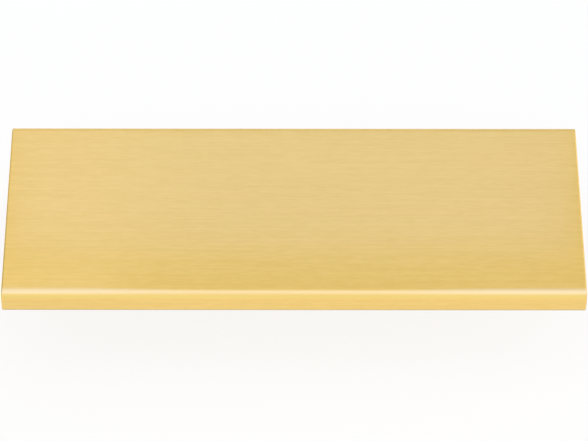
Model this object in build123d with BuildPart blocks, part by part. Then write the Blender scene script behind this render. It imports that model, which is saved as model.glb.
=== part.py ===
from build123d import *
import os

# Cabinet edge pull: one length of brass profile that hooks over the edge of a door or drawer front.
# A flat top plate has a short turned-down lip along its front edge, for the fingertips, and a screw
# flange along its rear edge, which goes behind the door. The frame is the fitted position: X runs
# along the pull, -Y is the room side and +Z is up. The origin is midway between the two screw holes,
# on the flange face that lies against the door.

# Driving dimensions, in millimetres
pull_length = 100.0  # along the door's edge
pull_depth = 40.0  # front face of the lip to the rear face of the flange
wall = 2.0  # thickness of the plate, the lip and the flange
lip_reach = 2.4  # lip below the underside of the plate
flange_reach = 18.0  # flange below the underside of the plate

# Screw holes
screw_inset = 18.0  # end of the pull to the nearest screw centre
screw_hole_diameter = 4.0  # clears a 3.5 mm wood screw
countersink_diameter = 7.2  # at the rear face of the flange
countersink_angle = 90.0  # degrees, for flat-headed screws

# Roundings
corner_radius = 1.5  # outer corners, front and rear
root_radius = 0.5  # inner corners, under the plate
rim_radius = 0.9  # lower edges of the lip and the flange
end_radius = 0.3  # sawn ends, eased all round
wall_share = 0.45  # most of a wall or lip that one rounding takes
end_share = 0.9  # most of a section rounding that the end rounding takes

# Places worked out from the sizes above
seat_y = 0.0
rear_y = seat_y + wall
front_y = rear_y - pull_depth
lip_back_y = front_y + wall
underside_z = flange_reach / 2
top_z = underside_z + wall
lip_bottom_z = underside_z - lip_reach
flange_bottom_z = underside_z - flange_reach
screw_spacing = pull_length - 2 * screw_inset

# Roundings that the walls leave room for
largest_rounding = wall_share * min(wall, lip_reach)
root_rounding = min(root_radius, largest_rounding)
rim_rounding = min(rim_radius, largest_rounding)
end_rounding = min(end_radius, end_share * min(rim_rounding, corner_radius))

# Corners of the cross-section with their roundings, from the front top corner round by the rear
section = [
    ((front_y, top_z), corner_radius),
    ((rear_y, top_z), corner_radius),
    ((rear_y, flange_bottom_z), rim_rounding),
    ((seat_y, flange_bottom_z), rim_rounding),
    ((seat_y, underside_z), root_rounding),
    ((lip_back_y, underside_z), root_rounding),
    ((lip_back_y, lip_bottom_z), rim_rounding),
    ((front_y, lip_bottom_z), rim_rounding),
]
section_points, section_radii = zip(*section)

with BuildPart() as edge_pull:
    # The length of profile
    with BuildSketch(Plane.YZ):
        with BuildLine():
            FilletPolyline(*section_points, radius=section_radii, close=True)
        make_face()
    extrude(amount=pull_length / 2, both=True)

    # Eased edges round both sawn ends
    ends = edge_pull.faces().filter_by(Axis.X)
    fillet(ends.edges(), end_rounding)

    # Countersunk screw holes, entered from the rear face of the flange
    rear_face = Plane(origin=(0, rear_y, 0), x_dir=(1, 0, 0), z_dir=(0, 1, 0))
    with Locations(rear_face):
        with GridLocations(screw_spacing, 0, 2, 1):
            CounterSinkHole(
                radius=screw_hole_diameter / 2,
                counter_sink_radius=countersink_diameter / 2,
                depth=wall,
                counter_sink_angle=countersink_angle,
            )

os.makedirs("parts", exist_ok=True)
edge_pull.part.label = "edge_pull"
export_step(edge_pull.part, "parts/edge_pull.step")
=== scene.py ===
import math

import bpy
from mathutils import Matrix, Vector


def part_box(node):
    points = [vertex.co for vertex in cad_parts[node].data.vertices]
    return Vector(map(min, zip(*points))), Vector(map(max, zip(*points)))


# Cabinet edge pull in brushed, lacquered brass, on a plain white floor under soft studio light.
# Lengths are in metres. X runs along the pull, -Y is the front and +Z is up.

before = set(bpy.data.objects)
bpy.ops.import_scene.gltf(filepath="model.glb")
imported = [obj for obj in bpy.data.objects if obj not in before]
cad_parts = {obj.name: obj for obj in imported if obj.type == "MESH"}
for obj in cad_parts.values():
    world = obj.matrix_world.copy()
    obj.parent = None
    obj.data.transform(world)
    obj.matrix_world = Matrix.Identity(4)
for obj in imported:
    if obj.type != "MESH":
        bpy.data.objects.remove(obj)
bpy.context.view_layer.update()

PULL = "edge_pull"
MM = 0.001
DEGREE = math.radians(1.0)
WHITE = (1.0, 1.0, 1.0)

# Camera: where it looks and from where
AIM_BEHIND_LIP = 17.195 * MM  # on top of the plate, behind the lip's front face
VIEW_ELEVATION = 48.014 * DEGREE
VIEW_AZIMUTH = 0.211 * DEGREE
VIEW_ROLL = 0.2145 * DEGREE
VIEW_DISTANCE = 632.28 * MM
NEAREST_SEEN = 10.0 * MM
SENSOR_WIDTH = 36.0  # in millimetres, as lenses are given
FOCAL_LENGTH = 223.177  # in millimetres

# Floor, which is partly matt and shows partly as plain white
FLOOR_HALF_WIDTH = 4.0
FLOOR_COLOUR = (0.92, 0.92, 0.92, 1.0)
FLOOR_GLOW = 0.85  # white share, to the camera and in reflections

# Surroundings, which change by how far a direction points to the bright side, from -1 to 1
BRIGHT_SIDE = (0.4, -1.0, 0.1)
LEVEL_CHANGE = (-0.7, 0.2)  # from fully dim to fully bright
LEVELS = (0.29, 1.12)  # dim and bright

# Softbox overhead, which the bend mirrors. A lamp of level 1 looks plain white
OVERHEAD_HEIGHT = 0.8
OVERHEAD_LENGTH = 1.4
OVERHEAD_WIDTH = 0.55
OVERHEAD_LEVEL = 0.39

# Cool strip lamp behind, which the plate mirrors from its rear edge to a little behind the lip
STRIP_DISTANCE = 0.15
STRIP_LENGTH = 0.12
STRIP_HEIGHT = 30.0 * MM
STRIP_LAST_LIT = 8.0 * MM  # behind the lip's front face
STRIP_LEVEL = 1.39
STRIP_COLOUR = (0.26, 0.49, 1.0)

# White card over the strip on the left, which the front of the plate mirrors there
CARD_LEFT = 0.0935
CARD_LENGTH = 0.113
CARD_HEIGHT = 40.0 * MM
CARD_RAISED = 5.0 * MM  # lower edge above the strip's upper edge
CARD_LEVEL = 0.8

# Low lamp behind, which the rear rounding mirrors
LOW_DISTANCE = 0.6
LOW_HEIGHT = 0.2
LOW_LENGTH = 0.45
LOW_WIDTH = 0.3
LOW_LEVEL = 0.42

# Side lamp to the rear on the right, which the rounded end mirrors
SIDE_PLACE = (0.38, 0.27, 0.16)  # from the middle of the plate
SIDE_WIDTH = 0.28
SIDE_HEIGHT = 0.4
SIDE_LEVEL = 0.5

# Brass under lacquer
BRASS = (0.925, 0.638, 0.158, 1.0)
BRASS_PALE = (0.975, 0.686, 0.197, 1.0)  # palest strokes and tool lines
BRASS_PAINTED_HIGHLIGHT = (0.96, 0.755, 0.42, 1.0)  # painted highlight along the bend
BRASS_SHADED_BAND = (0.9, 0.655, 0.175, 1.0)  # painted shade, a darker line below the painted highlight
BRASS_UNDER_SHADE = (0.67, 0.485, 0.14, 1.0)  # painted shade on the lower rims
BRUSHED_ROUGHNESS = (0.46, 0.54)
BRUSHED_ANISOTROPY = 0.8
LACQUER_ROUGHNESS = 0.12
LACQUER_IOR = 1.6

# Brush lines, each with its length and its width
HAIRLINE = (60.0 * MM, 0.15 * MM)
HAIRLINE_DEPTH = 0.003 * MM
LONG_STROKE = (30.0 * MM, 0.3 * MM)
SHORT_STROKE = (3.0 * MM, 0.36 * MM)
LONG_SHARE = 0.45  # long strokes in the mix of long and short
ROW_STEP = 5.618  # way through the noise from one row of strokes to the next

# Noise that draws the lines and strokes, and the part of its range that is used
LINE_DETAIL = 2.0
LINE_FINENESS = 0.65
LINE_RANGE = (0.3, 0.7)
STROKE_DETAIL = 1.0
STROKE_FINENESS = 0.6
STROKE_RANGE = (0.25, 0.75)

# Painted highlight along the bend: a pale band with a rear edge that is softer towards the ends
HIGHLIGHT_FULL_BEHIND = 1.12 * MM  # fully pale up to here behind the front
HIGHLIGHT_FADE_MIDDLE = 0.24 * MM  # width of the soft edge in the middle
HIGHLIGHT_FADE_ENDS = 0.95 * MM  # width of the soft edge at the ends
HIGHLIGHT_EVEN = 12.0 * MM  # like the middle as far as this from it
HIGHLIGHT_MOST = 40.0 * MM  # like the ends beyond this
HIGHLIGHT_MIDDLE = 0.68  # strength in the middle, where the ends have 1

# Turn from facing up to facing the front and on to facing down, where the painted highlight and the painted
# shade begin and end
HIGHLIGHT_END = (28.0 * DEGREE, 48.0 * DEGREE)  # front edge of the painted highlight
SHADED_BAND_START = (24.0 * DEGREE, 36.0 * DEGREE)  # painted shade line below the painted highlight
SHADED_BAND_END = (54.0 * DEGREE, 74.0 * DEGREE)
UNDER_SHADE_START = (90.5 * DEGREE, 106.0 * DEGREE)  # painted shade on the lower rims and in the flange's corner, on faces turned down
UNDER_SHADE_END = (160.0 * DEGREE, 178.0 * DEGREE)

# Sawn ends and turned countersinks
SAWN_ROUGHNESS = (0.38, 0.5)
SAW_LINE = (7.0 * MM, 0.14 * MM)
TURNED_ROUGHNESS = (0.28, 0.38)
TURNED_LINE = 0.09 * MM
CUT_DEPTH = 0.006 * MM

# Which faces are sawn or turned
SCREW_INSET = 18.0 * MM  # end of the pull to the nearest screw centre
COUNTERSINK_REACH = 3.7 * MM  # from the screw's axis
FLANGE_FACING = 0.9  # least part of a normal along Y on the flange's own faces
END_FACING = 0.75  # least part of a normal along X on the sawn ends
BRUSHED_SLOT, SAWN_SLOT, TURNED_SLOT = range(3)

# Lowest and highest corners of the pull
low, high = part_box(PULL)


def add_node(tree, kind, **values):
    """Add a shader node and set the input sockets that are named."""
    node = tree.nodes.new(kind)
    for name, value in values.items():
        node.inputs[name].default_value = value
    return node


def new_material(name):
    """A material with an empty node tree and its output node."""
    material = bpy.data.materials.new(name)
    material.use_nodes = True
    tree = material.node_tree
    tree.nodes.clear()
    output = tree.nodes.new("ShaderNodeOutputMaterial")
    return material, tree, output


def coordinate_parts(tree, kind):
    """The X, Y and Z sockets of the pull's own coordinates or of its normal."""
    place = tree.nodes.new("ShaderNodeTexCoord")
    parts = tree.nodes.new("ShaderNodeSeparateXYZ")
    tree.links.new(place.outputs[kind], parts.inputs["Vector"])
    return parts.outputs


def join_values(tree, operation, first, second):
    """Two values put together. Each is a number or an output socket."""
    join = tree.nodes.new("ShaderNodeMath")
    join.operation = operation
    for socket, value in zip(join.inputs, (first, second)):
        if isinstance(value, float):
            socket.default_value = value
        else:
            tree.links.new(value, socket)
    return join.outputs["Value"]


def fit_range(tree, value, given, wanted=(0.0, 1.0)):
    """Fit a value from one range to another, smoothly and within it."""
    fit = tree.nodes.new("ShaderNodeMapRange")
    fit.interpolation_type = "SMOOTHSTEP"
    fit.inputs["From Min"].default_value, fit.inputs["From Max"].default_value = given
    fit.inputs["To Min"].default_value, fit.inputs["To Max"].default_value = wanted
    tree.links.new(value, fit.inputs["Value"])
    return fit.outputs["Result"]


def mix_colours(tree, share, first, second):
    """A colour between two others. The first is a value or an output socket."""
    mix = tree.nodes.new("ShaderNodeMix")
    mix.data_type = "RGBA"
    sockets = {socket.identifier: socket for socket in (*mix.inputs, *mix.outputs)}
    tree.links.new(share, sockets["Factor_Float"])
    if isinstance(first, tuple):
        sockets["A_Color"].default_value = first
    else:
        tree.links.new(first, sockets["A_Color"])
    sockets["B_Color"].default_value = second
    return sockets["Result_Color"]


def noise_lines(tree, scale):
    """Noise over the pull's own coordinates, stretched by a scale for each axis."""
    place = tree.nodes.new("ShaderNodeTexCoord")
    stretch = add_node(tree, "ShaderNodeMapping", Scale=scale)
    noise = add_node(tree, "ShaderNodeTexNoise", Scale=1.0, Detail=LINE_DETAIL, Roughness=LINE_FINENESS)
    tree.links.new(place.outputs["Object"], stretch.inputs["Vector"])
    tree.links.new(stretch.outputs["Vector"], noise.inputs["Vector"])
    return noise.outputs["Fac"]


def brush_lines(tree, length, width):
    """Noise drawn out along X into brush lines."""
    return noise_lines(tree, (1 / length, 1 / width, 1 / width))


def brush_strokes(tree, length, width):
    """Straight strokes along X in rows of one width, each row with noise of its own."""
    place = coordinate_parts(tree, "Object")
    across = join_values(tree, "ADD", place["Y"], place["Z"])
    row = join_values(tree, "SNAP", across, width)
    spot = tree.nodes.new("ShaderNodeCombineXYZ")
    tree.links.new(join_values(tree, "DIVIDE", place["X"], length), spot.inputs["X"])
    tree.links.new(join_values(tree, "MULTIPLY", row, ROW_STEP / width), spot.inputs["Y"])
    noise = add_node(tree, "ShaderNodeTexNoise", Scale=1.0, Detail=STROKE_DETAIL, Roughness=STROKE_FINENESS)
    noise.noise_dimensions = "2D"
    tree.links.new(spot.outputs["Vector"], noise.inputs["Vector"])
    return noise.outputs["Fac"]


def mixed_strokes(tree):
    """Long and short brush strokes in one pattern."""
    long_part = join_values(tree, "MULTIPLY", brush_strokes(tree, *LONG_STROKE), LONG_SHARE)
    short_part = join_values(tree, "MULTIPLY", brush_strokes(tree, *SHORT_STROKE), 1 - LONG_SHARE)
    return join_values(tree, "ADD", long_part, short_part)


def add_relief(tree, shader, height, depth):
    """Raise and lower the surface by a noise pattern."""
    bump = add_node(tree, "ShaderNodeBump", Strength=1.0, Distance=depth)
    tree.links.new(height, bump.inputs["Height"])
    tree.links.new(bump.outputs["Normal"], shader.inputs["Normal"])


def lacquered_metal(tree, output):
    """A metal shader under clear lacquer, joined to the output."""
    shader = add_node(tree, "ShaderNodeBsdfPrincipled", Metallic=1.0)
    shader.inputs["Coat Weight"].default_value = 1.0
    shader.inputs["Coat Roughness"].default_value = LACQUER_ROUGHNESS
    shader.inputs["Coat IOR"].default_value = LACQUER_IOR
    tree.links.new(shader.outputs["BSDF"], output.inputs["Surface"])
    return shader


def brush_across(tree, shader):
    """Spread reflections round the pull's length, across the brush lines."""
    round_length = tree.nodes.new("ShaderNodeTangent")
    round_length.direction_type = "RADIAL"
    round_length.axis = "X"
    tree.links.new(round_length.outputs["Tangent"], shader.inputs["Tangent"])
    shader.inputs["Anisotropic"].default_value = BRUSHED_ANISOTROPY


def bend_turn(tree):
    """How far the surface is turned from facing up to facing the front."""
    facing = coordinate_parts(tree, "Normal")
    forward = join_values(tree, "MULTIPLY", facing["Y"], -1.0)
    return join_values(tree, "ARCTAN2", forward, facing["Z"])


def turn_band(tree, turn, start, end):
    """A band of the surface between two turns, with soft edges."""
    rising = fit_range(tree, turn, start)
    falling = fit_range(tree, turn, end, (1.0, 0.0))
    return join_values(tree, "MULTIPLY", rising, falling)


def painted_highlight_share(tree, turn):
    """How far the painted highlight covers the bend."""
    place = coordinate_parts(tree, "Object")
    from_middle = join_values(tree, "ABSOLUTE", place["X"], 0.0)
    fade = fit_range(tree, from_middle, (HIGHLIGHT_EVEN, HIGHLIGHT_MOST), (HIGHLIGHT_FADE_MIDDLE, HIGHLIGHT_FADE_ENDS))
    past_full = join_values(tree, "SUBTRACT", place["Y"], low.y + HIGHLIGHT_FULL_BEHIND)
    rising = fit_range(tree, join_values(tree, "DIVIDE", past_full, fade), (1.0, 0.0))
    falling = fit_range(tree, turn, HIGHLIGHT_END, (1.0, 0.0))
    strength = fit_range(tree, from_middle, (HIGHLIGHT_EVEN, HIGHLIGHT_MOST), (HIGHLIGHT_MIDDLE, 1.0))
    return join_values(tree, "MULTIPLY", join_values(tree, "MULTIPLY", rising, falling), strength)


def brushed_brass():
    """Brass brushed along X under clear lacquer, with a painted highlight along the bend, a painted shade
    line below it and painted shade on the faces turned down.
    """
    material, tree, output = new_material("brushed_brass")
    shader = lacquered_metal(tree, output)
    brush_across(tree, shader)
    turn = bend_turn(tree)
    colour = mix_colours(tree, fit_range(tree, mixed_strokes(tree), STROKE_RANGE), BRASS, BRASS_PALE)
    # Painted shade: a darker, less red line just below the painted highlight
    colour = mix_colours(tree, turn_band(tree, turn, SHADED_BAND_START, SHADED_BAND_END), colour, BRASS_SHADED_BAND)
    # Painted shade on faces turned down: the lower rims and the flange's inner corner
    colour = mix_colours(tree, turn_band(tree, turn, UNDER_SHADE_START, UNDER_SHADE_END), colour, BRASS_UNDER_SHADE)
    # Painted highlight: a pale band along the bend
    colour = mix_colours(tree, painted_highlight_share(tree, turn), colour, BRASS_PAINTED_HIGHLIGHT)
    tree.links.new(colour, shader.inputs["Base Color"])
    hairlines = brush_lines(tree, *HAIRLINE)
    tree.links.new(fit_range(tree, hairlines, LINE_RANGE, BRUSHED_ROUGHNESS), shader.inputs["Roughness"])
    add_relief(tree, shader, hairlines, HAIRLINE_DEPTH)
    return material


def cut_brass(name, line_scale, roughness_range):
    """Cut brass under clear lacquer, with tool lines from noise stretched by a scale for each axis."""
    material, tree, output = new_material(name)
    shader = lacquered_metal(tree, output)
    lines = noise_lines(tree, line_scale)
    colour = mix_colours(tree, fit_range(tree, lines, LINE_RANGE), BRASS, BRASS_PALE)
    tree.links.new(colour, shader.inputs["Base Color"])
    tree.links.new(fit_range(tree, lines, LINE_RANGE, roughness_range), shader.inputs["Roughness"])
    add_relief(tree, shader, lines, CUT_DEPTH)
    return material


def sawn_brass():
    """The two cut ends, with straight saw lines down them."""
    length, width = SAW_LINE
    return cut_brass("sawn_brass", (0.0, 1 / width, 1 / length), SAWN_ROUGHNESS)


def turned_brass():
    """The countersinks, with rings about their axes."""
    return cut_brass("turned_brass", (0.0, 1 / TURNED_LINE, 0.0), TURNED_ROUGHNESS)


def floor_white():
    """White floor that shows as background to the camera and in reflections, and keeps a faint shadow."""
    material, tree, output = new_material("floor_white")
    matt = add_node(tree, "ShaderNodeBsdfDiffuse", Color=FLOOR_COLOUR)
    glow = add_node(tree, "ShaderNodeEmission", Color=(*WHITE, 1.0), Strength=1.0)
    path = tree.nodes.new("ShaderNodeLightPath").outputs
    mirrored = join_values(tree, "MAXIMUM", path["Is Glossy Ray"], path["Is Transmission Ray"])
    seen = join_values(tree, "MAXIMUM", path["Is Camera Ray"], mirrored)
    mix = tree.nodes.new("ShaderNodeMixShader")
    tree.links.new(join_values(tree, "MULTIPLY", seen, FLOOR_GLOW), mix.inputs["Fac"])
    for socket, surface in zip(mix.inputs[1:], (matt.outputs["BSDF"], glow.outputs["Emission"])):
        tree.links.new(surface, socket)
    tree.links.new(mix.outputs["Shader"], output.inputs["Surface"])
    return material


def add_object(name, data):
    """Put a mesh, lamp or camera into the scene."""
    thing = bpy.data.objects.new(name, data)
    bpy.context.scene.collection.objects.link(thing)
    return thing


def add_floor():
    """A square floor under the pull's lowest edge."""
    w = FLOOR_HALF_WIDTH
    corners = [(-w, -w, low.z), (w, -w, low.z), (w, w, low.z), (-w, w, low.z)]
    mesh = bpy.data.meshes.new("floor")
    mesh.from_pydata(corners, [], [(0, 1, 2, 3)])
    mesh.materials.append(floor_white())
    floor = add_object("floor", mesh)


def set_world():
    """Plain grey surroundings, bright on one side and dimmer on the other."""
    world = bpy.data.worlds.new("studio")
    world.use_nodes = True
    tree = world.node_tree
    direction = tree.nodes.new("ShaderNodeTexCoord")
    towards = tree.nodes.new("ShaderNodeVectorMath")
    towards.operation = "DOT_PRODUCT"
    towards.inputs[1].default_value = Vector(BRIGHT_SIDE).normalized()
    tree.links.new(direction.outputs["Generated"], towards.inputs[0])
    level = fit_range(tree, towards.outputs["Value"], LEVEL_CHANGE, LEVELS)
    tree.links.new(level, tree.nodes["Background"].inputs["Color"])
    bpy.context.scene.world = world


def add_softbox(name, centre, target, length, width, level, colour=WHITE):
    """An even rectangular lamp, as bright to look at as a surface of the given level."""
    data = bpy.data.lights.new(name, "AREA")
    data.shape = "RECTANGLE"
    data.size = length
    data.size_y = width
    data.color = colour
    data.energy = level * math.pi * length * width
    facing = (target - centre).to_track_quat("-Z", "Y").to_matrix().to_4x4()
    add_object(name, data).matrix_world = Matrix.Translation(centre) @ facing


def add_mirrored_lamps():
    """The strip and the card, which stand where the plate mirrors the camera's view."""
    mirrored = Vector((0.0, math.cos(VIEW_ELEVATION), math.sin(VIEW_ELEVATION)))
    upward = Vector((0.0, -math.sin(VIEW_ELEVATION), math.cos(VIEW_ELEVATION)))
    last_lit = Vector((0.0, low.y + STRIP_LAST_LIT, high.z))
    strip_top = last_lit + mirrored * STRIP_DISTANCE
    strip = strip_top - upward * STRIP_HEIGHT / 2
    add_softbox("strip", strip, strip - mirrored, STRIP_LENGTH, STRIP_HEIGHT, STRIP_LEVEL, STRIP_COLOUR)
    card = strip_top + upward * (CARD_RAISED + CARD_HEIGHT / 2) - Vector((CARD_LEFT, 0.0, 0.0))
    add_softbox("card", card, card - mirrored, CARD_LENGTH, CARD_HEIGHT, CARD_LEVEL)


def add_lamps():
    """A softbox overhead, a strip, a card and a low lamp behind, and a lamp on the right."""
    middle = Vector((0.0, (low.y + high.y) / 2, high.z))
    above = middle + Vector((0.0, 0.0, OVERHEAD_HEIGHT))
    add_softbox("overhead", above, middle, OVERHEAD_LENGTH, OVERHEAD_WIDTH, OVERHEAD_LEVEL)
    add_mirrored_lamps()
    behind = middle + Vector((0.0, LOW_DISTANCE, LOW_HEIGHT))
    add_softbox("low", behind, middle, LOW_LENGTH, LOW_WIDTH, LOW_LEVEL)
    beside = middle + Vector(SIDE_PLACE)
    add_softbox("side", beside, middle, SIDE_WIDTH, SIDE_HEIGHT, SIDE_LEVEL)


def add_camera():
    """A long lens at the photograph's viewing angle."""
    data = bpy.data.cameras.new("camera")
    data.sensor_fit = "HORIZONTAL"
    data.sensor_width = SENSOR_WIDTH
    data.lens = FOCAL_LENGTH
    data.clip_start = NEAREST_SEEN
    aim = Vector((0.0, low.y + AIM_BEHIND_LIP, high.z))
    forward = Vector((
        math.sin(VIEW_AZIMUTH) * math.cos(VIEW_ELEVATION),
        math.cos(VIEW_AZIMUTH) * math.cos(VIEW_ELEVATION),
        -math.sin(VIEW_ELEVATION),
    ))
    turn = forward.to_track_quat("-Z", "Y").to_matrix() @ Matrix.Rotation(VIEW_ROLL, 3, "Z")
    camera = add_object("camera", data)
    camera.matrix_world = Matrix.Translation(aim - forward * VIEW_DISTANCE) @ turn.to_4x4()
    bpy.context.scene.camera = camera


def in_countersink(face):
    """Whether a face is on a screw hole's bore or countersink."""
    along = high.x - SCREW_INSET - abs(face.center.x)
    return math.hypot(along, face.center.z) < COUNTERSINK_REACH and abs(face.normal.y) < FLANGE_FACING


def finish_slot(face):
    """The material slot for a face of the pull."""
    if in_countersink(face):
        return TURNED_SLOT
    if abs(face.normal.x) > END_FACING:
        return SAWN_SLOT
    return BRUSHED_SLOT


def finish_pull():
    """Give each face of the pull its finish."""
    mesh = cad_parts[PULL].data
    mesh.materials.clear()
    for material in (brushed_brass(), sawn_brass(), turned_brass()):
        mesh.materials.append(material)
    for face in mesh.polygons:
        face.material_index = finish_slot(face)


finish_pull()
add_floor()
set_world()
add_lamps()
add_camera()
bpy.context.scene.view_settings.view_transform = "Standard"
